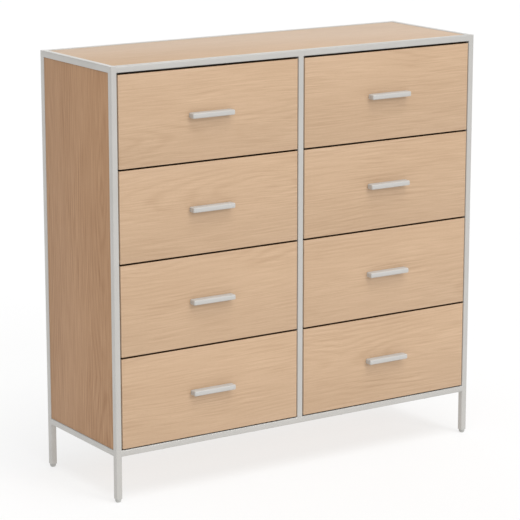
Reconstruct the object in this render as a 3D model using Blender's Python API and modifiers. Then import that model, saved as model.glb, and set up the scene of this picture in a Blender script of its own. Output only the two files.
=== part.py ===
"""Dresser with eight drawers in two columns, in a frame of square steel tube.

Each end is one welded frame whose posts run on down as legs. Straight tubes join the two ends at
the front and the back, a tube stands between the two drawer columns, and board panels are set into
the frame. Each drawer is a board box behind an inset front, and slides on two channel runners.

Metres, +Z up. +X runs along the front to the right, and the drawers open towards -Y. The origin is
on the floor, below the middle of the whole dresser with its pulls.
"""

import math

import bmesh
import bpy
from mathutils import Vector

# Driving dimensions
WIDTH = 1.200
HEIGHT = 1.194
FRAME_DEPTH = 0.392
ROWS = 4
TUBE = 0.018
TUBE_WALL = 0.0015
TUBE_CORNER = 0.0029
TUBE_CORNER_STEPS = 4
UNDERSIDE = 0.129  # floor to the bottom tubes
FOOT_HEIGHT = 0.010  # floor to the open ends of the legs
BOARD = 0.015
BACK_THICKNESS = 0.004
PANEL_RECESS = 0.001  # faces of the top and bottom panels below those of the tubes
SIDE_RECESS = 0.002  # outer faces of the side panels inside those of the tubes
TOUCH = 0.0003  # clearance between pieces that rest on each other

# Drawers
ROW_GAP = 0.0048  # above each front
BOTTOM_GAP = 0.003  # below the lowest fronts
SIDE_GAP = 0.0032  # beside each front
FRONT_EDGE = 0.0005
BOX_WALL = 0.012
BOX_LENGTH = 0.345
BOX_HEIGHT = 0.190
BOX_LIFT = 0.020  # bottom edge of a front to the bottom of its box
BOX_FLOOR = 0.004
BOX_FLOOR_LIFT = 0.010
SLIDE_SPACE = 0.013  # between a box and the panel beside it

# Runners
RUNNER_LENGTH = 0.345
RUNNER_HEIGHT = 0.035
RUNNER_DEPTH = 0.0105
RUNNER_METAL = 0.0012
RUNNER_SETBACK = 0.020  # behind the front of the frame
RUNNER_LIFT = 0.045  # bottom of a box to the bottom of its runners

# Pulls
PULL_LENGTH = 0.134
PULL_HEIGHT = 0.0145
PULL_DEPTH = 0.022
PULL_WALL = 0.003
PULL_EDGE = 0.0012
BOSS_SPACING = 0.096
BOSS_RADIUS = 0.004

# Glides
GLIDE_RADIUS = 0.0086
GLIDE_CONTACT = 0.004  # radius of the flat that stands on the floor
GLIDE_DOME_HEIGHT = 0.0074
GLIDE_DOME_STEPS = 8
GLIDE_SIDES = 32
GLIDE_PLUG_RADIUS = 0.0072
GLIDE_PLUG_HEIGHT = 0.012

# Places that follow from them
FRONT_Y = PULL_DEPTH - (FRAME_DEPTH + PULL_DEPTH) / 2
BACK_Y = FRONT_Y + FRAME_DEPTH
HALF = WIDTH / 2
POST_X = HALF - TUBE  # inner face of the right posts
STILE_X = TUBE / 2  # side face of the centre stile
FLOOR_Z = UNDERSIDE + TUBE  # top of the bottom tubes
CEILING_Z = HEIGHT - TUBE  # underside of the top tubes
TOP_PANEL_Z = HEIGHT - PANEL_RECESS - BOARD  # underside of the top panel
SIDE_PANEL_X = HALF - SIDE_RECESS - BOARD  # inner face of the right side panel
BOTTOM_PANEL_Z = FLOOR_Z - PANEL_RECESS  # upper face of the bottom panel
BACK_PANEL_Y = BACK_Y - TUBE - TOUCH - BACK_THICKNESS
FRONT_HEIGHT = (CEILING_Z - FLOOR_Z - BOTTOM_GAP) / ROWS - ROW_GAP
BOX_INNER_X = BOARD / 2 + SLIDE_SPACE  # the side of a box that is nearer the partition
BOX_OUTER_X = SIDE_PANEL_X - SLIDE_SPACE
SIDES = {"left": -1, "right": 1}
CUT_OVER = 0.01  # how far a cutter runs past the faces that it cuts


def make_collection(name):
    """A collection in the scene."""
    collection = bpy.data.collections.new(name)
    bpy.context.scene.collection.children.link(collection)
    return collection


def make_material(name, colour, roughness, metallic=0.0):
    """A Principled material."""
    material = bpy.data.materials.new(name)
    material.use_nodes = True
    shader = material.node_tree.nodes["Principled BSDF"]
    shader.inputs["Base Color"].default_value = (*colour, 1.0)
    shader.inputs["Roughness"].default_value = roughness
    shader.inputs["Metallic"].default_value = metallic
    return material


def add_object(name, mesh, place, collection, material=None):
    """An object for a mesh, with its origin at a place."""
    obj = bpy.data.objects.new(name, mesh)
    obj.location = place
    if material:
        mesh.materials.append(material)
    collection.objects.link(obj)
    return obj


def block(name, low, high, material, collection=None):
    """A box between two corners, with its origin at its middle."""
    low, high = Vector(low), Vector(high)
    bm = bmesh.new()
    bmesh.ops.create_cube(bm, size=1.0)
    bmesh.ops.scale(bm, vec=high - low, verts=bm.verts)
    mesh = bpy.data.meshes.new(name)
    bm.to_mesh(mesh)
    bm.free()
    return add_object(name, mesh, (low + high) / 2, collection or dresser, material)


def rod(name, start, length, radius, sides=20):
    """A helper cylinder that runs from a place along +Y."""
    bm = bmesh.new()
    bmesh.ops.create_cone(
        bm, cap_ends=True, segments=sides, radius1=radius, radius2=radius, depth=length
    )
    mesh = bpy.data.meshes.new(name)
    bm.to_mesh(mesh)
    bm.free()
    obj = add_object(name, mesh, Vector(start) + Vector((0, length / 2, 0)), helpers)
    obj.rotation_euler = (math.pi / 2, 0, 0)
    return obj


def as_helper(obj):
    """Marks an object as one that only shapes another."""
    obj.hide_render = True
    obj.display_type = "WIRE"
    return obj


def boolean(obj, helper, operation):
    """Cuts a helper out of an object, or joins it on."""
    modifier = obj.modifiers.new(helper.name, "BOOLEAN")
    modifier.operation = operation
    modifier.object = as_helper(helper)


def cut(obj, label, low, high):
    """Cuts a box out of an object."""
    boolean(obj, block(f"{obj.name}_{label}", low, high, None, helpers), "DIFFERENCE")


def smooth(obj):
    """Shades the round parts of an object smooth and leaves its corners sharp."""
    obj.data.shade_smooth()
    obj.data.set_sharp_from_angle(angle=math.radians(40))


def round_edges(obj, width, segments):
    """Rounds every edge of an object."""
    modifier = obj.modifiers.new("Rounded edges", "BEVEL")
    modifier.width = width
    modifier.segments = segments
    modifier.limit_method = "ANGLE"
    smooth(obj)


def square_bar(name, axis, low, high, collection=None):
    """A bar of tube section between two corners, its edges along the axis rounded."""
    bar = block(name, low, high, steel_paint, collection)
    along = "XYZ".index(axis)
    weights = bar.data.attributes.new("bevel_weight_edge", "FLOAT", "EDGE")
    for edge in bar.data.edges:
        start, end = (bar.data.vertices[v].co for v in edge.vertices)
        weights.data[edge.index].value = float(abs(end[along] - start[along]) > TUBE_CORNER)
    modifier = bar.modifiers.new("Tube corners", "BEVEL")
    modifier.width = TUBE_CORNER
    modifier.segments = TUBE_CORNER_STEPS
    modifier.limit_method = "WEIGHT"
    smooth(bar)
    return bar


def span(a, b):
    """Two coordinates, the lower one first."""
    return (a, b) if a < b else (b, a)


def box_between(x, y, z):
    """The low and the high corner of a box with these extents."""
    x, y, z = span(*x), span(*y), span(*z)
    return (x[0], y[0], z[0]), (x[1], y[1], z[1])


def end_frame(side):
    """Two posts that run down as legs, joined by a top and a bottom tube, hollow and open below."""
    sign = SIDES[side]
    name = f"{side}_end_frame"
    x = (sign * POST_X, sign * HALF)
    z = (FOOT_HEIGHT, HEIGHT)
    frame = square_bar(name, "Z", *box_between(x, (FRONT_Y, FRONT_Y + TUBE), z))
    corners = box_between(x, (BACK_Y - TUBE, BACK_Y), z)
    boolean(frame, square_bar(f"{name}_back_post", "Z", *corners, helpers), "UNION")
    y = (FRONT_Y + TUBE / 2, BACK_Y - TUBE / 2)
    for label, low_z in (("bottom_tube", UNDERSIDE), ("top_tube", CEILING_Z)):
        corners = box_between(x, y, (low_z, low_z + TUBE))
        boolean(frame, square_bar(f"{name}_{label}", "Y", *corners, helpers), "UNION")

    x = (sign * (POST_X + TUBE_WALL), sign * (HALF - TUBE_WALL))
    z = (FOOT_HEIGHT - CUT_OVER, HEIGHT - TUBE_WALL)
    for label, low_y in (("front_bore", FRONT_Y), ("back_bore", BACK_Y - TUBE)):
        cut(frame, label, *box_between(x, (low_y + TUBE_WALL, low_y + TUBE - TUBE_WALL), z))
    for label, low_z in (("bottom_bore", UNDERSIDE), ("top_bore", CEILING_Z)):
        cut(frame, label, *box_between(x, y, (low_z + TUBE_WALL, low_z + TUBE - TUBE_WALL)))


def straight_tube(name, axis, middle, length):
    """An open-ended square tube along an axis, around a middle point."""
    along = "XYZ".index(axis)
    half = [TUBE / 2] * 3
    bore = [TUBE / 2 - TUBE_WALL] * 3
    half[along] = length / 2
    bore[along] = length / 2 + CUT_OVER
    middle, half, bore = Vector(middle), Vector(half), Vector(bore)
    tube = square_bar(name, axis, middle - half, middle + half)
    cut(tube, "bore", middle - bore, middle + bore)


def rails():
    """The four long tubes between the end frames, and the stile between the drawer columns."""
    length = 2 * (POST_X - TOUCH)
    for end, y in (("front", FRONT_Y + TUBE / 2), ("back", BACK_Y - TUBE / 2)):
        straight_tube(f"{end}_top_rail", "X", (0, y, HEIGHT - TUBE / 2), length)
        straight_tube(f"{end}_bottom_rail", "X", (0, y, UNDERSIDE + TUBE / 2), length)
    height = CEILING_Z - FLOOR_Z - 2 * TOUCH
    middle = (0, FRONT_Y + TUBE / 2, (CEILING_Z + FLOOR_Z) / 2)
    straight_tube("centre_stile", "Z", middle, height)


def panels():
    """The boards that close the frame, and the partition between the drawer columns."""
    y = (FRONT_Y + TUBE + TOUCH, BACK_Y - TUBE - TOUCH)
    for side, sign in SIDES.items():
        x = (sign * SIDE_PANEL_X, sign * (HALF - SIDE_RECESS))
        z = (FLOOR_Z + TOUCH, CEILING_Z - TOUCH)
        block(f"{side}_side_panel", *box_between(x, y, z), oak)
    x = (-POST_X + TOUCH, POST_X - TOUCH)
    block("top_panel", *box_between(x, y, (TOP_PANEL_Z, TOP_PANEL_Z + BOARD)), oak)
    block("bottom_panel", *box_between(x, y, (BOTTOM_PANEL_Z - BOARD, BOTTOM_PANEL_Z)), oak)

    z = (BOTTOM_PANEL_Z + TOUCH, TOP_PANEL_Z - TOUCH)
    y = (FRONT_Y + TUBE + TOUCH, BACK_PANEL_Y - TOUCH)
    block("centre_partition", *box_between((-BOARD / 2, BOARD / 2), y, z), oak)
    y = (BACK_PANEL_Y, BACK_PANEL_Y + BACK_THICKNESS)
    for side, sign in SIDES.items():
        x = (sign * TOUCH, sign * (POST_X - TOUCH))
        block(f"{side}_back_panel", *box_between(x, y, z), hardboard)


def glide_profile():
    """Points of half a glide, from its top down: the plug in the tube, a shoulder and a dome."""
    plug_top = FOOT_HEIGHT + GLIDE_PLUG_HEIGHT
    points = [(0.0, plug_top), (GLIDE_PLUG_RADIUS, plug_top)]
    points += [(GLIDE_PLUG_RADIUS, FOOT_HEIGHT), (GLIDE_RADIUS, FOOT_HEIGHT)]
    dome = GLIDE_RADIUS - GLIDE_CONTACT
    for i in range(GLIDE_DOME_STEPS + 1):
        turn = i / GLIDE_DOME_STEPS * math.pi / 2
        height = GLIDE_DOME_HEIGHT * (1 - math.sin(turn))
        points.append((GLIDE_CONTACT + dome * math.cos(turn), height))
    points.append((0.0, 0.0))
    return points


def glides():
    """A domed plastic glide in the end of each leg."""
    mesh = bpy.data.meshes.new("glide")
    bm = bmesh.new()
    verts = [bm.verts.new((r, 0, z)) for r, z in glide_profile()]
    for a, b in zip(verts, verts[1:]):
        bm.edges.new((a, b))
    bm.to_mesh(mesh)
    bm.free()
    mesh.materials.append(plastic)
    for side, sign in SIDES.items():
        for end, y in (("front", FRONT_Y + TUBE / 2), ("back", BACK_Y - TUBE / 2)):
            place = (sign * (HALF - TUBE / 2), y, 0)
            glide = add_object(f"{end}_{side}_glide", mesh, place, dresser)
            screw = glide.modifiers.new("Turned", "SCREW")
            screw.steps = GLIDE_SIDES
            screw.render_steps = GLIDE_SIDES
            screw.use_merge_vertices = True
            screw.merge_threshold = 0.00001


def drawer_front(name, x, z):
    """The inset front, flush with the frame."""
    y = (FRONT_Y, FRONT_Y + BOARD)
    front = block(name, *box_between(x, y, (z, z + FRONT_HEIGHT)), oak)
    round_edges(front, FRONT_EDGE, 2)
    return front


def drawer_box(name, x, z):
    """Two sides, a back and a bottom set up in them, open above and at the front."""
    x = span(*x)
    y = (FRONT_Y + BOARD + TOUCH, FRONT_Y + BOARD + BOX_LENGTH)
    box = block(name, *box_between(x, y, (z, z + BOX_HEIGHT)), drawer_board)
    inner_x = (x[0] + BOX_WALL, x[1] - BOX_WALL)
    inner_y = (y[0] - CUT_OVER, y[1] - BOX_WALL)
    above = (z + BOX_FLOOR_LIFT + BOX_FLOOR, z + BOX_HEIGHT + CUT_OVER)
    below = (z - CUT_OVER, z + BOX_FLOOR_LIFT)
    cut(box, "inside", *box_between(inner_x, inner_y, above))
    cut(box, "under", *box_between(inner_x, inner_y, below))
    return box


def runner(name, panel_x, facing, z):
    """A steel channel on a panel, open towards the drawer, which is on the facing side of it."""
    x = (panel_x + facing * TOUCH, panel_x + facing * (TOUCH + RUNNER_DEPTH))
    y = (FRONT_Y + RUNNER_SETBACK, FRONT_Y + RUNNER_SETBACK + RUNNER_LENGTH)
    channel = block(name, *box_between(x, y, (z, z + RUNNER_HEIGHT)), zinc)
    x_cut = (x[0] + facing * RUNNER_METAL, x[1] + facing * CUT_OVER)
    y_cut = (y[0] - CUT_OVER, y[1] + CUT_OVER)
    z_cut = (z + RUNNER_METAL, z + RUNNER_HEIGHT - RUNNER_METAL)
    cut(channel, "channel", *box_between(x_cut, y_cut, z_cut))


def pull(name, x, z):
    """A box-shaped pull, open below and behind, with two screw bosses inside it."""
    x_outer = (x - PULL_LENGTH / 2, x + PULL_LENGTH / 2)
    y_outer = (FRONT_Y - PULL_DEPTH, FRONT_Y - TOUCH)
    z_outer = (z - PULL_HEIGHT / 2, z + PULL_HEIGHT / 2)
    handle = block(name, *box_between(x_outer, y_outer, z_outer), steel_paint)
    round_edges(handle, PULL_EDGE, 2)
    x_in = (x_outer[0] + PULL_WALL, x_outer[1] - PULL_WALL)
    y_in = (y_outer[0] + PULL_WALL, FRONT_Y + CUT_OVER)
    z_in = (z_outer[0] - CUT_OVER, z_outer[1] - PULL_WALL)
    cut(handle, "grip", *box_between(x_in, y_in, z_in))
    for label, offset in (("left_boss", -BOSS_SPACING / 2), ("right_boss", BOSS_SPACING / 2)):
        start = (x + offset, y_outer[0] + PULL_WALL / 2, z_outer[1] - PULL_WALL / 2 - BOSS_RADIUS)
        boss = rod(f"{name}_{label}", start, PULL_DEPTH - PULL_WALL / 2 - TOUCH, BOSS_RADIUS)
        boolean(handle, boss, "UNION")
    return handle


def drawer(side, row):
    """One drawer with its pull, on an empty at its runners, and the two runners in the carcass."""
    sign = SIDES[side]
    label = f"{side}_{row}"
    z = CEILING_Z - row * (ROW_GAP + FRONT_HEIGHT)
    x_front = (sign * (STILE_X + SIDE_GAP), sign * (POST_X - SIDE_GAP))
    x_middle = sum(x_front) / 2
    box_z = z + BOX_LIFT
    runner_z = box_z + RUNNER_LIFT

    carriage = bpy.data.objects.new(f"drawer_{label}", None)
    carriage.location = (x_middle, FRONT_Y, runner_z + RUNNER_HEIGHT / 2)
    dresser.objects.link(carriage)
    pieces = [
        drawer_front(f"drawer_front_{label}", x_front, z),
        drawer_box(f"drawer_box_{label}", (sign * BOX_INNER_X, sign * BOX_OUTER_X), box_z),
        pull(f"drawer_pull_{label}", x_middle, z + FRONT_HEIGHT / 2),
    ]
    for piece in pieces:
        piece.parent = carriage
        piece.location -= carriage.location
        for modifier in piece.modifiers:
            if modifier.type == "BOOLEAN":
                modifier.object.parent = carriage
                modifier.object.location -= carriage.location

    runner(f"outer_runner_{label}", sign * SIDE_PANEL_X, -sign, runner_z)
    runner(f"inner_runner_{label}", sign * BOARD / 2, sign, runner_z)


for old in list(bpy.data.objects):
    bpy.data.objects.remove(old)

dresser = make_collection("Dresser")
helpers = make_collection("Cutters")
helpers.hide_render = True

steel_paint = make_material("Powder-coated steel", (0.58, 0.57, 0.55), 0.45)
oak = make_material("Light oak laminate", (0.62, 0.44, 0.29), 0.5)
hardboard = make_material("White-faced hardboard", (0.72, 0.70, 0.66), 0.6)
drawer_board = make_material("Drawer board", (0.70, 0.68, 0.63), 0.55)
zinc = make_material("Zinc-plated steel", (0.60, 0.61, 0.62), 0.35, 1.0)
plastic = make_material("Grey plastic", (0.52, 0.52, 0.50), 0.5)

for end_side in SIDES:
    end_frame(end_side)
rails()
panels()
glides()
for column in SIDES:
    for row_number in range(1, ROWS + 1):
        drawer(column, row_number)
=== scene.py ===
import math

import bmesh
import bpy
from mathutils import Matrix, Vector


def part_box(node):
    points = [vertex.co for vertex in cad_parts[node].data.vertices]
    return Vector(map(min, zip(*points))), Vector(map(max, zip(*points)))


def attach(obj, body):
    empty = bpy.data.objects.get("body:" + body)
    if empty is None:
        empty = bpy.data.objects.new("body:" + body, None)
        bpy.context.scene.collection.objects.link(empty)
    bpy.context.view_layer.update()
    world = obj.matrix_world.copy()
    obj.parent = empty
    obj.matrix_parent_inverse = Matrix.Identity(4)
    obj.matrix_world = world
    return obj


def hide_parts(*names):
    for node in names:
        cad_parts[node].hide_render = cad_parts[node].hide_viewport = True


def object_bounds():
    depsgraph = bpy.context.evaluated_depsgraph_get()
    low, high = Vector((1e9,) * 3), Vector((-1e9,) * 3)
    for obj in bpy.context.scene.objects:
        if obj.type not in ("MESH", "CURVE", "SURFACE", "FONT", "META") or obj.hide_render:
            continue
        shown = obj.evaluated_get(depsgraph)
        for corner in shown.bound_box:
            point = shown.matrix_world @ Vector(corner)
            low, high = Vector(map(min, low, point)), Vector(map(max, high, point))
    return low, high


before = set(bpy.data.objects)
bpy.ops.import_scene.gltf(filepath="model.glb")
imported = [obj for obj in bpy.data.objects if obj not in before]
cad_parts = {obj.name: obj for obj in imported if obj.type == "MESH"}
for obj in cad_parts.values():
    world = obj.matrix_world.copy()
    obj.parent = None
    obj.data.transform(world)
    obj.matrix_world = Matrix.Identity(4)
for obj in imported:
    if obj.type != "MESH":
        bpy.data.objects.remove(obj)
cad_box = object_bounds()

# The looks of an eight-drawer dresser: oak-laminate boards in a powder-coated tube frame.
# X is the width, Y the depth (drawers open towards -Y), Z the height. Metres.

SIDES = ("left", "right")
ROWS = (1, 2, 3, 4)

# Camera, lamps and floor
CAMERA_PLACE = (-3.559, -5.420, 2.051)
CAMERA_YAW = math.radians(33.18)
CAMERA_PITCH = math.radians(-12.88)
CAMERA_LENS = 160.7
SENSOR_WIDTH = 36.0
CLIP_START, CLIP_END = 0.1, 200.0
LAMPS = (  # name, direction that the light arrives from, strength, angle across the source
    ("key", (7, -22, 11), 0.77, math.radians(22)),
    ("overhead", (0.0, -0.34, 0.94), 1.44, math.radians(40)),
    ("rim", (0.535, 0.815, 0.218), 0.42, math.radians(50)),
)
LAMP_DISTANCE = 6.0
SKY_STRENGTH = 0.57
FLOOR_REACH = 60.0
FLOOR_CELLS = 8
FLOOR_GLOW = 0.70

# Oak decor: repeats per metre along and across the grain
FIBRES = (12.0, 700.0, 1.0)
STRANDS = (6.5, 330.0, 1.0)
STRAND_PATCHES = (3.0, 14.0, 1.0)
BANDS = (4.0, 120.0, 1.0)
CLOUDS = (1.6, 9.0, 1.0)
PORES = (70.0, 2300.0, 1.0)
RING_PATCHES = (2.2, 8.0, 1.0)
RING_JITTER = (6.0, 30.0, 1.0)
SWAYS = (((1.6, 5.0, 5.0), 0.007), ((9.0, 22.0, 22.0), 0.0011))  # each with its reach in metres

# Oak decor: how much each layer counts in the tone, and the tones of its two colours
RING_WEIGHT = 0.17
FIBRE_WEIGHT = 0.60
STRAND_WEIGHT = 0.90
BAND_WEIGHT = 0.28
CLOUD_WEIGHT = 0.25
LIGHT_TONE, DARK_TONE = -0.25, 0.60
PORE_WEIGHT = 0.42
PORE_COLOUR = (0.36, 0.225, 0.125)

# Oak decor: growth rings, cut so that they run in long arches
ARCH_WIDTH = 0.21
ARCH_TAPER = 0.11
ARCH_RISE = 0.055
ARCH_BLUNTNESS = 0.015
RING_RATE = 560.0
RING_WANDER = 7.0

NOISE_LOW, NOISE_HIGH = 0.3, 0.7  # where nearly all of the noise lies
GRAIN_X, GRAIN_Z = "XYZ", "ZXY"  # orders of the axes: the grain runs along the first
SEED_STEP = (1.37, 0.83, 0.59)
SEED_START = (0.4, 3.1, 7.7)
FIRST_PANEL_SEED = 21  # the fronts have numbers 1 to 8

# Meshes
WELD_DISTANCE = 1e-6
FLAT_ANGLE = math.radians(0.5)
SHARP_ANGLE = math.radians(32)
CORNER_ANGLE = math.radians(55)
FACING = 0.9  # least part of a normal along an axis in a face across that axis
BEND_STEPS = 4
BEND_SHARE = 0.49  # most of a leg that the arc at one of its ends takes up
SCREW_SIDES = 32
NAIL_SIDES = 20

# Frame and boards
BOARD_EDGE = 0.0006
TUBE_CORNER = 0.0029
WELD_SKIN = 0.00005  # from a weld fill to the faces of its tube
WELD_OUT, WELD_IN = 0.006, 0.003  # reach of a weld fill past the end of its tube, and into it

# Screw heads, in shares of the radius and the height
HEAD_PROFILE = (
    (0.0, 0.0),
    (0.96, 0.0),
    (1.0, 0.08),
    (1.0, 0.40),
    (0.93, 0.66),
    (0.78, 0.86),
    (0.55, 0.97),
    (0.0, 1.0),
)
RECESS_REACH, RECESS_HALF, RECESS_FLOOR = 0.52, 0.11, 0.30
SMALL_SCREW_SIZE = (0.0032, 0.0019)
PULL_SCREW_SIZE = (0.0039, 0.0024)

# Clips, plates and brackets of bent strip. Legs and screws are measured from the bend,
# and those of the plates from the faces of the tube
METAL = 0.0012  # thickness, also of the runners
STRIP_BEND = 0.0016  # radius
CLIP_LEG = 0.016
CLIP_HALF = 0.012
CLIP_SETBACK = 0.003  # from the ends of the clips to the rear faces of the tubes
CLIP_PLAY = 0.0001  # from a clip to the back
CLIP_TUBE_SCREW, CLIP_BACK_SCREW = 0.0075, 0.0100
CLIP_HEIGHTS = (0.28, 0.66, 1.04)
CLIP_PLACES = (-0.40, -0.15, 0.15, 0.40)
PLATE_START = 0.005  # inwards of the tube's outer face
PLATE_BEND_START, PLATE_BEND_END = 0.001, 0.002  # before and past the tube's inner face
PLATE_END = 0.018  # past the tube's inner face
PLATE_HALF = 0.010
PLATE_TUBE_SCREW = 0.010  # inwards of the tube's outer face
PLATE_BOARD_SCREW = 0.011  # past the tube's inner face
PLATE_PLACES = (-0.45, -0.15, 0.15, 0.45)
BRACKET_LEG = 0.022
BRACKET_HALF = 0.008
BRACKET_SCREW = 0.014
BRACKET_SHARES = (0.30, 0.85)  # of the box's height

# Strip over the seam of the back, and its nails
SEAM_HALF = 0.013
SEAM_THICKNESS = 0.0015
SEAM_END_GAP = 0.001
SEAM_EDGE = 0.0006
NAIL_COUNT = 7
NAIL_MARGIN = 0.03
NAIL_HEAD = ((0, 0), (0.0026, 0), (0.0026, 0.0003), (0.0020, 0.0008), (0.0010, 0.0010), (0, 0.0010))

# Drawer fronts and boxes
FRONT_EDGE = 0.0010
FRONT_EDGE_STEPS = 3
SHADE_BAND_INDEX, LIT_END_INDEX = 1, 2  # material slots of a front's edge band, painted dark as the shade in the gaps above and below it, and of its end band, painted lighter as light in the side gaps
BOX_WALL = 0.012
BOX_EDGE = 0.0005
BOX_FLOOR = 0.004
BOX_FLOOR_EDGE = 0.0003
BOX_FLOOR_LIFT = 0.010
BOX_FLOOR_SETBACK = 0.001
GROOVE_DEPTH = 0.005
GROOVE_PLAY = 0.0001
BACK_DROP = 0.006

# Pulls
PULL_EDGE = 0.0040
PULL_EDGE_STEPS = 8
PULL_WALL = 0.003
POCKET_OVERRUN = 0.004
POCKET_EDGE = 0.0012
BOSS_REACH = 0.048  # from the middle of the pull
BOSS_DROP = 0.0055  # below its top
BOSS_RADIUS = 0.004
BOSS_SETBACK = 0.0025  # from the end of a boss to the pull's front face
WASHER_RADIUS = 0.0055
WASHER_THICKNESS = 0.0008
WASHER_PROFILE = ((0.0, 0.0), (1.0, 0.0), (1.0, 0.7), (0.94, 1.0), (0.0, 1.0))  # as the heads

# Runners: the cabinet member, and the slide that the drawer carries. Screws and ends are
# placed from the front end, or from the back end where negative. A lip's end and a flange's
# middle are measured from the nearer edge, upper or lower, of the cabinet member
RUNNER_DEPTH = 0.0100  # from the board to the outer faces of the lips
RUNNER_LIP, RUNNER_BEND = 0.0034, 0.0014
RUNNER_SCREWS = (0.037, 0.165, -0.045)
SLIDE_DEPTH = 0.0086  # from the drawer to the middles of the lips
SLIDE_LIP, SLIDE_BEND = 0.0088, 0.0012
SLIDE_FLANGE = 0.0062
SLIDE_ENDS = (0.001, -0.006)
SLIDE_SCREWS = (0.030, 0.150, -0.055)
STOP_REACH = (0.0014, 0.0085)  # from the board
STOP_ENDS = (-0.0045, -0.0005)  # from the back end of the cabinet member
STOP_HALF = 0.009
STOP_EDGE = 0.0008


# ---------------------------------------------------------------- node materials


def new_material(name):
    """(material, tree, shader) of a material that holds only its shader and output."""
    material = bpy.data.materials.new(name)
    material.use_nodes = True
    tree = material.node_tree
    tree.nodes.clear()
    shader = tree.nodes.new("ShaderNodeBsdfPrincipled")
    output = tree.nodes.new("ShaderNodeOutputMaterial")
    tree.links.new(shader.outputs["BSDF"], output.inputs["Surface"])
    return material, tree, shader


def feed(tree, socket, value):
    if isinstance(value, bpy.types.NodeSocket):
        tree.links.new(value, socket)
    else:
        socket.default_value = value


def maths(tree, operation, *values):
    node = tree.nodes.new("ShaderNodeMath")
    node.operation = operation
    for socket, value in zip(node.inputs, values):
        feed(tree, socket, value)
    return node.outputs[0]


def vector_maths(tree, operation, *values):
    node = tree.nodes.new("ShaderNodeVectorMath")
    node.operation = operation
    for socket, value in zip(node.inputs, values):
        feed(tree, socket, value)
    return node.outputs[0]


def noise(tree, place, stretch, detail=2.0, roughness=0.5):
    """Noise from 0 to 1 over a place multiplied by stretch, its repeats per metre on each axis."""
    node = tree.nodes.new("ShaderNodeTexNoise")
    feed(tree, node.inputs["Vector"], vector_maths(tree, "MULTIPLY", place, stretch))
    node.inputs["Scale"].default_value = 1.0
    node.inputs["Detail"].default_value = detail
    node.inputs["Roughness"].default_value = roughness
    return node.outputs["Fac"]


def remap(tree, value, low, high, to_low=0.0, to_high=1.0):
    node = tree.nodes.new("ShaderNodeMapRange")
    for name, number in (
        ("From Min", low),
        ("From Max", high),
        ("To Min", to_low),
        ("To Max", to_high),
    ):
        node.inputs[name].default_value = number
    feed(tree, node.inputs["Value"], value)
    return node.outputs["Result"]


def blend_colours(tree, share, first, second):
    node = tree.nodes.new("ShaderNodeMix")
    node.data_type = "RGBA"
    feed(tree, node.inputs["Factor"], share)
    for name, colour in (("A", first), ("B", second)):
        socket = next(s for s in node.inputs if s.name == name and s.type == "RGBA")
        feed(tree, socket, colour)
    return next(s for s in node.outputs if s.type == "RGBA")


def bumped(tree, shader, height, depth, strength):
    node = tree.nodes.new("ShaderNodeBump")
    node.inputs["Distance"].default_value = depth
    node.inputs["Strength"].default_value = strength
    feed(tree, node.inputs["Height"], height)
    feed(tree, shader.inputs["Normal"], node.outputs["Normal"])


def tinted(tree, share, light, dark, low=NOISE_LOW, high=NOISE_HIGH):
    """A colour that goes from light to dark while share goes from low to high."""
    return blend_colours(tree, remap(tree, share, low, high), rgba(light), rgba(dark))


def worn(tree, shader, layer, smooth, rough):
    """A roughness that follows a layer of noise between two values."""
    feed(
        tree,
        shader.inputs["Roughness"],
        remap(tree, layer, NOISE_LOW, NOISE_HIGH, smooth, rough),
    )


def own_place(tree):
    """The place on the object at rest, which moves with the piece."""
    return tree.nodes.new("ShaderNodeTexCoord").outputs["Object"]


def rgba(colour):
    return (*colour, 1.0)


def grain_place(tree, order):
    """The place on the board along and across its gently swaying grain."""
    split = tree.nodes.new("ShaderNodeSeparateXYZ")
    feed(tree, split.inputs[0], own_place(tree))
    join = tree.nodes.new("ShaderNodeCombineXYZ")
    for socket, letter in zip(join.inputs, order):
        feed(tree, socket, split.outputs[letter])
    seed = tree.nodes.new("ShaderNodeAttribute")
    seed.attribute_type = "OBJECT"
    seed.attribute_name = "board_seed"
    place = vector_maths(tree, "ADD", join.outputs[0], seed.outputs["Vector"])

    parts = tree.nodes.new("ShaderNodeSeparateXYZ")
    feed(tree, parts.inputs[0], place)
    along = parts.outputs["X"]
    across = maths(tree, "ADD", parts.outputs["Y"], parts.outputs["Z"])
    for stretch, reach in SWAYS:
        layer = noise(tree, place, stretch)
        sway = remap(tree, layer, NOISE_LOW, NOISE_HIGH, -reach, reach)
        across = maths(tree, "ADD", across, sway)
    bent = tree.nodes.new("ShaderNodeCombineXYZ")
    feed(tree, bent.inputs["X"], along)
    feed(tree, bent.inputs["Y"], across)
    return along, across, bent.outputs[0]


def growth_rings(tree, along, across, grain):
    """The rings' wave from 0 to 1. It follows the distance from the middle of an arch."""
    aside = maths(tree, "PINGPONG", across, ARCH_WIDTH)
    rise = maths(tree, "PINGPONG", maths(tree, "MULTIPLY", along, ARCH_TAPER), ARCH_RISE)
    rise = maths(tree, "ADD", rise, ARCH_BLUNTNESS)
    squares = maths(
        tree, "ADD", maths(tree, "POWER", aside, 2.0), maths(tree, "POWER", rise, 2.0)
    )
    jitter = maths(tree, "MULTIPLY", noise(tree, grain, RING_JITTER), RING_WANDER)
    turn = maths(tree, "MULTIPLY", maths(tree, "SQRT", squares), RING_RATE)
    turn = maths(tree, "ADD", turn, jitter)
    return maths(tree, "MULTIPLY_ADD", maths(tree, "SINE", turn), 0.5, 0.5)


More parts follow.
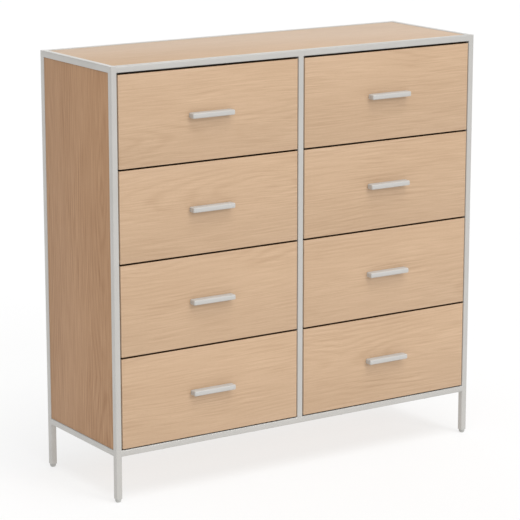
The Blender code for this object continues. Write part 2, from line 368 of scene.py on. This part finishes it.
def oak_laminate(name, order, light, dark, specular, roughness):
    """Light oak decor with the grain along the first letter of order, offset by board_seed."""
    material, tree, shader = new_material(name)
    along, across, grain = grain_place(tree, order)
    wave = growth_rings(tree, along, across, grain)
    patch = remap(tree, noise(tree, grain, RING_PATCHES, 1.0), 0.42, 0.62)
    rings = maths(tree, "MULTIPLY", maths(tree, "POWER", wave, 2.0), patch)

    fibres = noise(tree, grain, FIBRES, 3.0, 0.6)
    strands = maths(
        tree,
        "MULTIPLY",
        maths(tree, "SUBTRACT", noise(tree, grain, STRANDS, 3.0, 0.55), 0.5),
        remap(tree, noise(tree, grain, STRAND_PATCHES, 1.0), 0.35, 0.65, 0.50, 1.50),
    )
    bands = noise(tree, grain, BANDS)
    clouds = noise(tree, grain, CLOUDS)
    pores = remap(tree, noise(tree, grain, PORES, 1.0), 0.60, 0.70)
    pores = maths(tree, "MULTIPLY", pores, remap(tree, wave, 0.0, 1.0, 1.0, 0.25))

    tone = maths(tree, "MULTIPLY", rings, RING_WEIGHT)
    for part, weight, middle in (
        (fibres, FIBRE_WEIGHT, 0.5),
        (strands, STRAND_WEIGHT, 0.0),
        (bands, BAND_WEIGHT, 0.5),
        (clouds, CLOUD_WEIGHT, 0.5),
    ):
        tone = maths(tree, "MULTIPLY_ADD", maths(tree, "SUBTRACT", part, middle), weight, tone)
    colour = tinted(tree, tone, light, dark, LIGHT_TONE, DARK_TONE)
    pore_share = maths(tree, "MULTIPLY", pores, PORE_WEIGHT)
    colour = blend_colours(tree, pore_share, colour, rgba(PORE_COLOUR))
    feed(tree, shader.inputs["Base Color"], colour)
    worn(tree, shader, fibres, roughness, roughness + 0.10)
    shader.inputs["Specular IOR Level"].default_value = specular
    height = maths(tree, "MULTIPLY_ADD", pores, -1.0, maths(tree, "MULTIPLY", fibres, 0.5))
    bumped(tree, shader, height, depth=0.00012, strength=0.5)
    return material


def powder_coat(name, light, dark, metallic, roughness):
    """Satin powder coat: fine orange peel, slightly uneven sheen."""
    material, tree, shader = new_material(name)
    place = own_place(tree)
    peel = noise(tree, place, (850.0,) * 3)
    film = noise(tree, place, (14.0,) * 3, 3.0)
    grains = noise(tree, place, (3200.0,) * 3, 1.0)
    share = maths(tree, "MULTIPLY_ADD", grains, 0.35, maths(tree, "MULTIPLY", film, 0.65))
    feed(tree, shader.inputs["Base Color"], tinted(tree, share, light, dark))
    shader.inputs["Metallic"].default_value = metallic
    worn(tree, shader, film, roughness, roughness + 0.08)
    bumped(tree, shader, peel, depth=0.00012, strength=0.5)
    return material


def zinc(name, light, dark):
    """Bright zinc plate with faint rolling marks along Y and a little mottling."""
    material, tree, shader = new_material(name)
    place = own_place(tree)
    rolled = noise(tree, place, (900.0, 12.0, 900.0), 3.0, 0.6)
    mottle = noise(tree, place, (120.0,) * 3, 3.0)
    feed(tree, shader.inputs["Base Color"], tinted(tree, mottle, light, dark))
    shader.inputs["Metallic"].default_value = 1.0
    worn(tree, shader, rolled, 0.26, 0.42)
    bumped(tree, shader, rolled, depth=0.00002, strength=0.4)
    return material


def lined_board(name, light, dark, speck, roughness):
    """Paper-faced board: soft fibres with sparse specks."""
    material, tree, shader = new_material(name)
    place = own_place(tree)
    paper = noise(tree, place, (420.0,) * 3, 4.0, 0.6)
    broad = noise(tree, place, (6.0,) * 3)
    share = maths(tree, "MULTIPLY_ADD", paper, 0.6, maths(tree, "MULTIPLY", broad, 0.4))
    colour = tinted(tree, share, light, dark, 0.35, 0.65)
    specks = remap(tree, noise(tree, place, (1500.0,) * 3, 0.0), 0.74, 0.80)
    colour = blend_colours(tree, maths(tree, "MULTIPLY", specks, 0.5), colour, rgba(speck))
    feed(tree, shader.inputs["Base Color"], colour)
    worn(tree, shader, paper, roughness, roughness + 0.12)
    bumped(tree, shader, paper, depth=0.00005, strength=0.35)
    return material


def gap_shade_material(name, light, dark):
    """Dark brown band on the long edges of the fronts: painted shade that stands in for the shadow
    in the gaps between the rows.
    """
    material, tree, shader = new_material(name)
    streaks = noise(tree, own_place(tree), (9.0, 300.0, 300.0), 3.0)
    feed(tree, shader.inputs["Base Color"], tinted(tree, streaks, light, dark))
    worn(tree, shader, streaks, 0.50, 0.60)
    shader.inputs["Specular IOR Level"].default_value = 0.15
    bumped(tree, shader, streaks, depth=0.00004, strength=0.4)
    return material


def moulded_plastic(name, light, dark):
    """Spark-textured plastic with faint flow marks."""
    material, tree, shader = new_material(name)
    place = own_place(tree)
    spark = noise(tree, place, (2200.0,) * 3)
    flow = noise(tree, place, (60.0,) * 3)
    feed(tree, shader.inputs["Base Color"], tinted(tree, flow, light, dark))
    worn(tree, shader, spark, 0.42, 0.56)
    bumped(tree, shader, spark, depth=0.00003, strength=0.4)
    return material


def studio_paint(name, light, dark):
    """The floor: plain, pale and matt."""
    material, tree, shader = new_material(name)
    drift = noise(tree, own_place(tree), (0.8,) * 3, 3.0)
    colour = blend_colours(tree, drift, rgba(light), rgba(dark))
    feed(tree, shader.inputs["Base Color"], colour)
    shader.inputs["Roughness"].default_value = 0.9
    shader.inputs["Specular IOR Level"].default_value = 0.1
    shader.inputs["Emission Color"].default_value = rgba((1.0, 1.0, 1.0))
    shader.inputs["Emission Strength"].default_value = FLOOR_GLOW
    return material


FRONT_OAK = oak_laminate(
    "front_oak_laminate", GRAIN_X, (0.607, 0.419, 0.269), (0.407, 0.255, 0.143), 0.55, 0.42
)
# Painted light: the fronts' side edges are a paler oak than the fronts so that the narrow side gaps
# look lit.
END_OAK_PAINTED_LIGHT = oak_laminate(
    "end_oak_painted_light", GRAIN_Z, (0.760, 0.560, 0.390), (0.580, 0.405, 0.260), 0.55, 0.42
)
# Painted shade: the fronts' oak decor toned a little darker so that the top does not look too
# bright under the overhead and rim lamps.
TOP_OAK_PAINTED_SHADE = oak_laminate(
    "top_oak_painted_shade", GRAIN_X, (0.572, 0.397, 0.255), (0.409, 0.262, 0.152), 0.25, 0.40
)
# Painted shade: the same oak decor as the fronts, made darker and more saturated because the sides
# receive less light.
SIDE_OAK_PAINTED_SHADE = oak_laminate(
    "side_oak_painted_shade", GRAIN_Z, (0.557, 0.338, 0.194), (0.265, 0.121, 0.048), 0.25, 0.52
)
COAT = powder_coat(
    "frame_powder_coat", (0.552, 0.540, 0.515), (0.522, 0.510, 0.485), 0.45, 0.33
)
PULL_COAT = powder_coat(
    "pull_powder_coat", (0.532, 0.521, 0.499), (0.504, 0.493, 0.472), 0.10, 0.50
)
ZINC = zinc("zinc_plate", (0.66, 0.67, 0.68), (0.53, 0.54, 0.56))
WHITE_BOARD = lined_board(
    "drawer_lined_board", (0.72, 0.70, 0.66), (0.67, 0.65, 0.60), (0.50, 0.46, 0.40), 0.48
)
BACK_BOARD = lined_board(
    "back_lined_board", (0.74, 0.72, 0.68), (0.69, 0.67, 0.62), (0.45, 0.40, 0.33), 0.55
)
PLASTIC = moulded_plastic("grey_moulded_plastic", (0.50, 0.50, 0.48), (0.45, 0.45, 0.43))
# Painted shade: the fronts' top and bottom edges are nearly black-brown so that the gaps between
# the rows look shaded.
GAP_SHADE_BAND = gap_shade_material("painted_gap_shade", (0.120, 0.060, 0.022), (0.094, 0.045, 0.017))
FLOOR_PAINT = studio_paint("floor_paint", (0.27, 0.27, 0.27), (0.25, 0.25, 0.25))


# ---------------------------------------------------------------- mesh building


def emit(mesh, name, body, material, slot, *replaced, seed=None):
    """Makes a named piece of a bmesh, riding on a body. It stands for the CAD nodes replaced."""
    bmesh.ops.recalc_face_normals(mesh, faces=mesh.faces)
    for face in mesh.faces:
        face.smooth = True
    for edge in mesh.edges:
        edge.smooth = len(edge.link_faces) == 2 and edge.calc_face_angle(math.pi) < SHARP_ANGLE
    data = bpy.data.meshes.new(name)
    mesh.to_mesh(data)
    mesh.free()
    data.materials.append(material)
    piece = bpy.data.objects.new(name, data)
    bpy.context.scene.collection.objects.link(piece)
    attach(piece, body)
    if replaced:
        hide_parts(*replaced)
    if seed is not None:
        piece["board_seed"] = seed
    return piece


def clean_copy(node):
    """A bmesh of a CAD node with its triangles welded and its flat faces joined."""
    mesh = bmesh.new()
    mesh.from_mesh(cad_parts[node].data)
    bmesh.ops.remove_doubles(mesh, verts=mesh.verts, dist=WELD_DISTANCE)
    bmesh.ops.dissolve_limit(
        mesh, angle_limit=FLAT_ANGLE, verts=mesh.verts, edges=mesh.edges
    )
    return mesh


def soften(mesh, width, segments=2):
    """Rounds every edge that turns more than CORNER_ANGLE."""
    edges = [
        e
        for e in mesh.edges
        if len(e.link_faces) == 2 and e.calc_face_angle(0.0) > CORNER_ANGLE
    ]
    bmesh.ops.bevel(
        mesh,
        geom=edges,
        offset=width,
        offset_type="OFFSET",
        segments=segments,
        profile=0.5,
        affect="EDGES",
        clamp_overlap=True,
    )


def block(low, high, edge=0.0):
    """A block between two corners, with all its edges rounded."""
    mesh = bmesh.new()
    low, high = Vector(low), Vector(high)
    verts = bmesh.ops.create_cube(mesh, size=1.0)["verts"]
    for vert in verts:
        vert.co = Vector(l + (c + 0.5) * (h - l) for l, c, h in zip(low, vert.co, high))
    if edge:
        edges = list({e for v in verts for e in v.link_edges})
        bmesh.ops.bevel(
            mesh, geom=edges, offset=edge, segments=2, profile=0.5, affect="EDGES"
        )
    return mesh


def arc(start, corner, end, radius):
    """Points of the arc that rounds the corner between two neighbours of an outline."""
    to_start, to_end = (start - corner), (end - corner)
    half = to_start.angle(to_end) / 2
    cut = min(
        radius / math.tan(half), BEND_SHARE * to_start.length, BEND_SHARE * to_end.length
    )
    centre = corner + (to_start.normalized() + to_end.normalized()).normalized() * (
        cut / math.cos(half)
    )
    first = corner + to_start.normalized() * cut - centre
    last = corner + to_end.normalized() * cut - centre
    sweep = first.angle_signed(last)
    return [
        centre + Matrix.Rotation(-sweep * i / BEND_STEPS, 2) @ first
        for i in range(BEND_STEPS + 1)
    ]


def bent_strip(path, bend):
    """The closed outline of a sheet-metal strip whose middle follows path."""
    path = [Vector(p) for p in path]
    middle = [path[0]]
    for before, corner, after in zip(path, path[1:], path[2:]):
        middle += arc(before, corner, after, bend)
    middle.append(path[-1])
    left, right = [], []
    for i, point in enumerate(middle):
        before, after = middle[max(i - 1, 0)], middle[min(i + 1, len(middle) - 1)]
        run = (after - before).normalized()
        normal = Vector((-run.y, run.x)) * METAL / 2
        left.append(point + normal)
        right.append(point - normal)
    return left + right[::-1]


def add_prism(mesh, outline, axis, start, end):
    """Adds a bar of this outline, in the two other axes, between two places along axis."""
    others = [a for a in range(3) if a != axis]
    rings = []
    for place in (start, end):
        ring = []
        for point in outline:
            spot = [0.0] * 3
            spot[axis] = place
            spot[others[0]], spot[others[1]] = point
            ring.append(mesh.verts.new(spot))
        rings.append(ring)
    count = len(outline)
    for i in range(count):
        j = (i + 1) % count
        mesh.faces.new((rings[0][i], rings[0][j], rings[1][j], rings[1][i]))
    for ring in rings:
        mesh.faces.new(ring)


def standing(place, axis):
    """The matrix that takes something from the origin and +Z to this place and axis."""
    turn = Vector(axis).to_track_quat("Z", "Y").to_matrix().to_4x4()
    return Matrix.Translation(place) @ turn


def add_turned(mesh, profile, centre, axis, sides=SCREW_SIDES):
    """Adds a solid of revolution.

    The profile is (radius, height) pairs that start and end on the axis.
    """
    place = standing(centre, axis)
    rings = []
    for radius, height in profile:
        ring = []
        for i in range(sides if radius > 0 else 1):
            angle = math.tau * i / sides
            spot = Vector((radius * math.cos(angle), radius * math.sin(angle), height))
            ring.append(mesh.verts.new(place @ spot))
        rings.append(ring)
    for low, high in zip(rings, rings[1:]):
        for i in range(sides):
            j = (i + 1) % sides
            corners = (
                low[i % len(low)],
                low[j % len(low)],
                high[j % len(high)],
                high[i % len(high)],
            )
            corners = list(dict.fromkeys(corners))
            if len(corners) > 2:
                mesh.faces.new(corners)


def combined(target, tool, operation):
    """The bmesh left by a Boolean of two closed bmeshes."""
    objects = []
    for part in (target, tool):
        bmesh.ops.recalc_face_normals(part, faces=part.faces)
        data = bpy.data.meshes.new("tool")
        part.to_mesh(data)
        part.free()
        objects.append(bpy.data.objects.new("tool", data))
        bpy.context.scene.collection.objects.link(objects[-1])
    step = objects[0].modifiers.new("cut", "BOOLEAN")
    step.operation, step.solver, step.object = operation, "EXACT", objects[1]
    graph = bpy.context.evaluated_depsgraph_get()
    result = bmesh.new()
    result.from_mesh(bpy.data.meshes.new_from_object(objects[0].evaluated_get(graph)))
    for thing in objects:
        bpy.data.objects.remove(thing)
    bmesh.ops.remove_doubles(result, verts=result.verts, dist=WELD_DISTANCE)
    bmesh.ops.dissolve_limit(
        result, angle_limit=FLAT_ANGLE, verts=result.verts, edges=result.edges
    )
    return result


def scaled(profile, radius, height):
    return [(radius * r, height * h) for r, h in profile]


def cross_head(radius, height):
    """A pan-head screw's head with its cross recess, as a mesh to stamp.

    It stands on the origin along +Z.
    """
    head = bmesh.new()
    add_turned(head, scaled(HEAD_PROFILE, radius, height), (0, 0, 0), (0, 0, 1))
    reach, half, floor = radius * RECESS_REACH, radius * RECESS_HALF, height * RECESS_FLOOR
    for spread in ((reach, half), (half, reach)):
        tool = block((-spread[0], -spread[1], floor), (spread[0], spread[1], height * 2))
        head = combined(head, tool, "DIFFERENCE")
    data = bpy.data.meshes.new("stamp")
    head.to_mesh(data)
    head.free()
    return data


def stamp(mesh, data, place, axis):
    """Adds a copy of a stamp, standing on place along axis."""
    before = set(mesh.verts)
    mesh.from_mesh(data)
    added = [v for v in mesh.verts if v not in before]
    bmesh.ops.transform(mesh, matrix=standing(place, axis), verts=added)


SMALL_SCREW = cross_head(*SMALL_SCREW_SIZE)
PULL_SCREW = cross_head(*PULL_SCREW_SIZE)


# ---------------------------------------------------------------- frame and boards


def seed_of(number):
    """A board's own place in the oak pattern, far from its neighbours'."""
    return [step * number + start for step, start in zip(SEED_STEP, SEED_START)]


def coated_bars():
    for node in (
        "left_end_frame",
        "right_end_frame",
        "front_top_rail",
        "front_bottom_rail",
        "back_top_rail",
        "back_bottom_rail",
        "centre_stile",
    ):
        emit(clean_copy(node), node + "_coated", "carcass", COAT, "frame_coating", node)


def rounded_square(across, up, half):
    """The outline of a tube round this middle."""
    corners = [(-1, -1), (1, -1), (1, 1), (-1, 1)]
    points = [Vector((across + half * a, up + half * b)) for a, b in corners]
    outline = []
    for i, corner in enumerate(points):
        outline += arc(points[i - 1], corner, points[(i + 1) % 4], TUBE_CORNER)
    return outline


def weld_fills():
    """The ground welds: each fills the notch between the rounded corners of two tubes."""
    mesh = bmesh.new()
    for node, axis, side in (  # with the axis along the tube, and one across it
        ("front_top_rail", 0, 2),
        ("front_bottom_rail", 0, 2),
        ("back_top_rail", 0, 2),
        ("back_bottom_rail", 0, 2),
        ("centre_stile", 2, 0),
    ):
        low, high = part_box(node)
        middle, half = (low + high) / 2, (high[side] - low[side]) / 2 - WELD_SKIN
        first, second = [a for a in range(3) if a != axis]
        outline = rounded_square(middle[first], middle[second], half)
        add_prism(mesh, outline, axis, low[axis] - WELD_OUT, low[axis] + WELD_IN)
        add_prism(mesh, outline, axis, high[axis] - WELD_IN, high[axis] + WELD_OUT)
    emit(mesh, "frame_welds", "carcass", COAT, "frame_coating")


def back_clips(panel_y):
    """Angle clips that hold the back in the frame."""
    rail_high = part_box("back_top_rail")[1]
    post_x, reach_y = rail_high.x, rail_high.y - CLIP_SETBACK
    near = panel_y + METAL / 2 + CLIP_PLAY
    mesh = bmesh.new()
    for side in (-1, 1):
        face = side * (post_x - METAL / 2)
        outline = bent_strip(
            [(face, reach_y), (face, near), (face - side * CLIP_LEG, near)], STRIP_BEND
        )
        for z in CLIP_HEIGHTS:
            add_prism(mesh, outline, 2, z - CLIP_HALF, z + CLIP_HALF)
            on_tube = (face - side * METAL / 2, near + CLIP_TUBE_SCREW, z)
            on_back = (face - side * CLIP_BACK_SCREW, near + METAL / 2, z)
            stamp(mesh, SMALL_SCREW, on_tube, (-side, 0, 0))
            stamp(mesh, SMALL_SCREW, on_back, (0, 1, 0))
    for node, up in (("back_top_rail", -1), ("back_bottom_rail", 1)):
        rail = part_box(node)
        edge = (rail[0] if up < 0 else rail[1]).z
        face = edge + up * METAL / 2
        outline = bent_strip(
            [(reach_y, face), (near, face), (near, face + up * CLIP_LEG)], STRIP_BEND
        )
        for x in CLIP_PLACES:
            add_prism(mesh, outline, 0, x - CLIP_HALF, x + CLIP_HALF)
            on_tube = (x, near + CLIP_TUBE_SCREW, face + up * METAL / 2)
            on_back = (x, near + METAL / 2, face + up * CLIP_BACK_SCREW)
            stamp(mesh, SMALL_SCREW, on_tube, (0, 0, up))
            stamp(mesh, SMALL_SCREW, on_back, (0, 1, 0))
    emit(mesh, "back_clips", "carcass", ZINC, "runner_steel")


def back_seam(panel_y):
    """The nailed strip over the seam of the back."""
    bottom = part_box("back_bottom_rail")[1].z + SEAM_END_GAP
    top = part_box("back_top_rail")[0].z - SEAM_END_GAP
    outside = panel_y + SEAM_THICKNESS
    mesh = block((-SEAM_HALF, panel_y, bottom), (SEAM_HALF, outside, top), SEAM_EDGE)
    emit(mesh, "back_seam_strip", "carcass", BACK_BOARD, "hardboard_back")
    mesh = bmesh.new()
    run = top - bottom - 2 * NAIL_MARGIN
    for step in range(NAIL_COUNT):
        height = bottom + NAIL_MARGIN + run * step / (NAIL_COUNT - 1)
        add_turned(mesh, NAIL_HEAD, (0, outside, height), (0, 1, 0), NAIL_SIDES)
    emit(mesh, "back_seam_nails", "carcass", ZINC, "runner_steel")


def bottom_fittings():
    """Joggled plates that hold the bottom board to the tubes."""
    board_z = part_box("bottom_panel")[0].z - METAL / 2
    mesh = bmesh.new()
    for node, inward in (("front_bottom_rail", 1), ("back_bottom_rail", -1)):
        low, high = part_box(node)
        tube_z = low.z - METAL / 2
        outside, inside = (low.y, high.y) if inward > 0 else (high.y, low.y)
        outline = bent_strip(
            [
                (outside + inward * PLATE_START, tube_z),
                (inside - inward * PLATE_BEND_START, tube_z),
                (inside + inward * PLATE_BEND_END, board_z),
                (inside + inward * PLATE_END, board_z),
            ],
            STRIP_BEND,
        )
        for x in PLATE_PLACES:
            add_prism(mesh, outline, 0, x - PLATE_HALF, x + PLATE_HALF)
            on_tube = (x, outside + inward * PLATE_TUBE_SCREW, tube_z - METAL / 2)
            on_board = (x, inside + inward * PLATE_BOARD_SCREW, board_z - METAL / 2)
            stamp(mesh, SMALL_SCREW, on_tube, (0, 0, -1))
            stamp(mesh, SMALL_SCREW, on_board, (0, 0, -1))
    emit(mesh, "bottom_plates", "carcass", ZINC, "runner_steel")


def boards():
    panels = (
        ("left_side_panel", SIDE_OAK_PAINTED_SHADE, "oak_laminate"),
        ("right_side_panel", SIDE_OAK_PAINTED_SHADE, "oak_laminate"),
        ("top_panel", TOP_OAK_PAINTED_SHADE, "oak_laminate"),
        ("bottom_panel", TOP_OAK_PAINTED_SHADE, "oak_laminate"),
        ("centre_partition", SIDE_OAK_PAINTED_SHADE, "oak_laminate"),
        ("left_back_panel", BACK_BOARD, "hardboard_back"),
        ("right_back_panel", BACK_BOARD, "hardboard_back"),
    )
    for number, (node, material, slot) in enumerate(panels, FIRST_PANEL_SEED):
        mesh = clean_copy(node)
        soften(mesh, BOARD_EDGE)
        seed = seed_of(number) if slot == "oak_laminate" else None
        emit(mesh, node + "_board", "carcass", material, slot, node, seed=seed)


def glides():
    for node in ("front_left", "front_right", "back_left", "back_right"):
        mesh = clean_copy(node + "_glide")
        emit(mesh, node + "_glide_moulded", "carcass", PLASTIC, "glide_plastic", node + "_glide")


# ---------------------------------------------------------------- drawers


def drawer_front(side, row, body):
    node = f"drawer_front_{side}_{row}"
    mesh = clean_copy(node)
    soften(mesh, FRONT_EDGE, FRONT_EDGE_STEPS)
    mesh.normal_update()
    for face in mesh.faces:
        # Top and bottom edges get the band painted with the gaps' shade; side edges get the end
        # band painted lighter as light in the side gaps.
        if abs(face.normal.z) > FACING:
            face.material_index = SHADE_BAND_INDEX
        elif abs(face.normal.x) > FACING:
            face.material_index = LIT_END_INDEX
    seed = seed_of(row + len(ROWS) * SIDES.index(side))
    board = emit(mesh, f"{node}_board", body, FRONT_OAK, "oak_laminate", node, seed=seed)
    board.data.materials.append(GAP_SHADE_BAND)
    board.data.materials.append(END_OAK_PAINTED_LIGHT)


def box_wall(outer, inner, low, high, floor_low, floor_high):
    """A side of the box between two corners, grooved on the inside for the floor."""
    groove = inner + math.copysign(GROOVE_DEPTH, outer - inner)
    outline = [
        (outer, low.z),
        (inner, low.z),
        (inner, floor_low - GROOVE_PLAY),
        (groove, floor_low - GROOVE_PLAY),
        (groove, floor_high + GROOVE_PLAY),
        (inner, floor_high + GROOVE_PLAY),
        (inner, high.z),
        (outer, high.z),
    ]
    mesh = bmesh.new()
    add_prism(mesh, outline, 1, low.y, high.y)
    soften(mesh, BOX_EDGE)
    return mesh


def drawer_box(side, row, body):
    """Two grooved sides, a back between them and a floor in the grooves.

    The drawer's front closes it.
    """
    node = f"drawer_box_{side}_{row}"
    low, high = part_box(node)
    floor_low = low.z + BOX_FLOOR_LIFT
    floor_high = floor_low + BOX_FLOOR
    inside_low, inside_high = low.x + BOX_WALL, high.x - BOX_WALL
    reach = GROOVE_DEPTH - 2 * GROOVE_PLAY
    left_wall = box_wall(low.x, inside_low, low, high, floor_low, floor_high)
    right_wall = box_wall(high.x, inside_high, low, high, floor_low, floor_high)
    back_wall = block(
        (inside_low, high.y - BOX_WALL, floor_high + GROOVE_PLAY),
        (inside_high, high.y, high.z - BACK_DROP),
        BOX_EDGE,
    )
    floor_board = block(
        (inside_low - reach, low.y, floor_low),
        (inside_high + reach, high.y - BOX_FLOOR_SETBACK, floor_high),
        BOX_FLOOR_EDGE,
    )
    for mesh, part, nodes in (
        (left_wall, "left_wall", (node,)),
        (right_wall, "right_wall", ()),
        (back_wall, "back_wall", ()),
        (floor_board, "floor", ()),
    ):
        name = f"drawer_{side}_{row}_box_{part}"
        emit(mesh, name, body, WHITE_BOARD, "drawer_board", *nodes)


def front_brackets(side, row, body):
    """Angle brackets that hold the box to its front."""
    low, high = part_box(f"drawer_box_{side}_{row}")
    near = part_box(f"drawer_front_{side}_{row}")[1].y + METAL / 2
    mesh = bmesh.new()
    for wall, inward in ((low.x + BOX_WALL, 1), (high.x - BOX_WALL, -1)):
        face = wall + inward * METAL / 2
        outline = bent_strip(
            [(face, near + BRACKET_LEG), (face, near), (face + inward * BRACKET_LEG, near)],
            STRIP_BEND,
        )
        for share in BRACKET_SHARES:
            z = low.z + (high.z - low.z) * share
            add_prism(mesh, outline, 2, z - BRACKET_HALF, z + BRACKET_HALF)
            on_wall = (wall + inward * METAL, near + BRACKET_SCREW, z)
            on_front = (face + inward * BRACKET_SCREW, near + METAL / 2, z)
            stamp(mesh, SMALL_SCREW, on_wall, (inward, 0, 0))
            stamp(mesh, SMALL_SCREW, on_front, (0, 1, 0))
    emit(mesh, f"drawer_{side}_{row}_front_brackets", body, ZINC, "runner_steel")


def pull_screws(side, row, body):
    """The screws and washers that hold the pull, behind the front."""
    pull_low, pull_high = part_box(f"drawer_pull_{side}_{row}")
    front_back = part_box(f"drawer_front_{side}_{row}")[1].y
    middle = (pull_low.x + pull_high.x) / 2
    washer = scaled(WASHER_PROFILE, WASHER_RADIUS, WASHER_THICKNESS)
    mesh = bmesh.new()
    for offset in (-BOSS_REACH, BOSS_REACH):
        spot = Vector((middle + offset, front_back, pull_high.z - BOSS_DROP))
        add_turned(mesh, washer, spot, (0, 1, 0))
        stamp(mesh, PULL_SCREW, spot + Vector((0, WASHER_THICKNESS, 0)), (0, 1, 0))
    emit(mesh, f"drawer_{side}_{row}_pull_screws", body, ZINC, "runner_steel")


def pull(side, row, body):
    """A box-shaped pull, hollow from below and behind, with a boss for each screw."""
    node = f"drawer_pull_{side}_{row}"
    low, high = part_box(node)
    middle = (low + high) / 2
    outer = block(low, high)
    rounded = []
    for edge in outer.edges:
        first, second = (vert.co.y for vert in edge.verts)
        in_front = max(first, second) - low.y < WELD_DISTANCE
        if in_front or abs(first - second) > WELD_DISTANCE:
            rounded.append(edge)
    bmesh.ops.bevel(
        outer,
        geom=rounded,
        offset=PULL_EDGE,
        segments=PULL_EDGE_STEPS,
        profile=0.5,
        affect="EDGES",
    )
    pocket = block(
        (low.x + PULL_WALL, low.y + PULL_WALL, low.z - POCKET_OVERRUN),
        (high.x - PULL_WALL, high.y + POCKET_OVERRUN, high.z - PULL_WALL),
        POCKET_EDGE,
    )
    mesh = combined(outer, pocket, "DIFFERENCE")
    length = high.y - low.y - BOSS_SETBACK
    profile = ((0, 0), (BOSS_RADIUS, 0), (BOSS_RADIUS, length), (0, length))
    for offset in (-BOSS_REACH, BOSS_REACH):
        boss = bmesh.new()
        spot = (middle.x + offset, high.y, high.z - BOSS_DROP)
        add_turned(boss, profile, spot, (0, -1, 0))
        mesh = combined(mesh, boss, "UNION")
    emit(mesh, f"{node}_coated", body, PULL_COAT, "frame_coating", node)


def channel(back, towards, depth, flange, lip, bend, low, high):
    """The section of a channel with lips, between two heights.

    Its back lies on the plane x = back, and it opens towards 1 or -1 along X. Depth reaches
    the middles of the lips.
    """
    half = METAL / 2
    near, far = back + towards * half, back + towards * depth
    return bent_strip(
        [
            (far, low + lip),
            (far, low + flange),
            (near, low + flange),
            (near, high - flange),
            (far, high - flange),
            (far, high - lip),
        ],
        bend,
    )


def from_ends(low, high, place):
    """A place along Y, counted from the front end, or from the back end below 0."""
    return (low if place > 0 else high).y + place


def runners(side, row, body):
    """The drawer's two runners: a cabinet member for the CAD channel, and a drawer member."""
    box_low, box_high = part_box(f"drawer_box_{side}_{row}")
    for hand in ("outer", "inner"):
        node = f"{hand}_runner_{side}_{row}"
        low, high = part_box(node)
        name = f"drawer_{side}_{row}_{hand}"
        towards = 1 if low.x < box_low.x else -1
        wall = low.x if towards > 0 else high.x
        face = box_low.x if towards > 0 else box_high.x
        middle = (low.z + high.z) / 2

        mesh = bmesh.new()
        section = channel(
            wall,
            towards,
            RUNNER_DEPTH - METAL / 2,
            METAL / 2,
            RUNNER_LIP,
            RUNNER_BEND,
            low.z,
            high.z,
        )
        add_prism(mesh, section, 1, low.y, high.y)
        for place in RUNNER_SCREWS:
            spot = (wall + towards * METAL, from_ends(low, high, place), middle)
            stamp(mesh, SMALL_SCREW, spot, (towards, 0, 0))
        emit(mesh, f"{name}_cabinet_member", "carcass", ZINC, "runner_steel", node)

        mesh = bmesh.new()
        section = channel(
            face,
            -towards,
            SLIDE_DEPTH,
            SLIDE_FLANGE,
            SLIDE_LIP,
            SLIDE_BEND,
            low.z,
            high.z,
        )
        start, end = (from_ends(low, high, place) for place in SLIDE_ENDS)
        add_prism(mesh, section, 1, start, end)
        for place in SLIDE_SCREWS:
            spot = (face - towards * METAL, from_ends(low, high, place), middle)
            stamp(mesh, SMALL_SCREW, spot, (-towards, 0, 0))
        emit(mesh, f"{name}_drawer_member", body, ZINC, "runner_steel")

        start, end = sorted(wall + towards * reach for reach in STOP_REACH)
        front, back = (high.y + place for place in STOP_ENDS)
        mesh = block(
            (start, front, middle - STOP_HALF), (end, back, middle + STOP_HALF), STOP_EDGE
        )
        emit(mesh, f"{name}_stop", "carcass", PLASTIC, "glide_plastic")


def drawers():
    for side in SIDES:
        for row in ROWS:
            body = f"drawer_{side}_{row}"
            drawer_front(side, row, body)
            drawer_box(side, row, body)
            front_brackets(side, row, body)
            pull_screws(side, row, body)
            pull(side, row, body)
            runners(side, row, body)


# ---------------------------------------------------------------- stage


def camera():
    data = bpy.data.cameras.new("camera")
    data.lens = CAMERA_LENS
    data.sensor_width = SENSOR_WIDTH
    data.clip_start, data.clip_end = CLIP_START, CLIP_END
    eye = bpy.data.objects.new("camera", data)
    eye.location = CAMERA_PLACE
    eye.rotation_euler = (math.pi / 2 + CAMERA_PITCH, 0.0, -CAMERA_YAW)
    bpy.context.scene.collection.objects.link(eye)
    bpy.context.scene.camera = eye


def lamps():
    for name, direction, strength, angle in LAMPS:
        data = bpy.data.lights.new(name, "SUN")
        data.energy = strength
        data.color = (1.0, 1.0, 1.0)
        data.angle = angle
        light = bpy.data.objects.new(name, data)
        towards = Vector(direction).normalized()
        light.location = towards * LAMP_DISTANCE
        light.rotation_euler = towards.to_track_quat("Z", "Y").to_euler()
        bpy.context.scene.collection.objects.link(light)


def sky():
    world = bpy.data.worlds.new("studio")
    world.use_nodes = True
    background = world.node_tree.nodes["Background"]
    background.inputs["Color"].default_value = (1.0, 1.0, 1.0, 1.0)
    background.inputs["Strength"].default_value = SKY_STRENGTH
    bpy.context.scene.world = world
    bpy.context.scene.view_settings.view_transform = "Standard"


def floor():
    mesh = bmesh.new()
    bmesh.ops.create_grid(
        mesh, x_segments=FLOOR_CELLS, y_segments=FLOOR_CELLS, size=FLOOR_REACH
    )
    data = bpy.data.meshes.new("floor")
    mesh.to_mesh(data)
    mesh.free()
    data.materials.append(FLOOR_PAINT)
    plane = bpy.data.objects.new("floor", data)
    plane.location.z = cad_box[0].z
    bpy.context.scene.collection.objects.link(plane)


coated_bars()
weld_fills()
boards()
back_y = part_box("left_back_panel")[1].y
back_clips(back_y)
back_seam(back_y)
bottom_fittings()
glides()
drawers()
camera()
lamps()
sky()
floor()
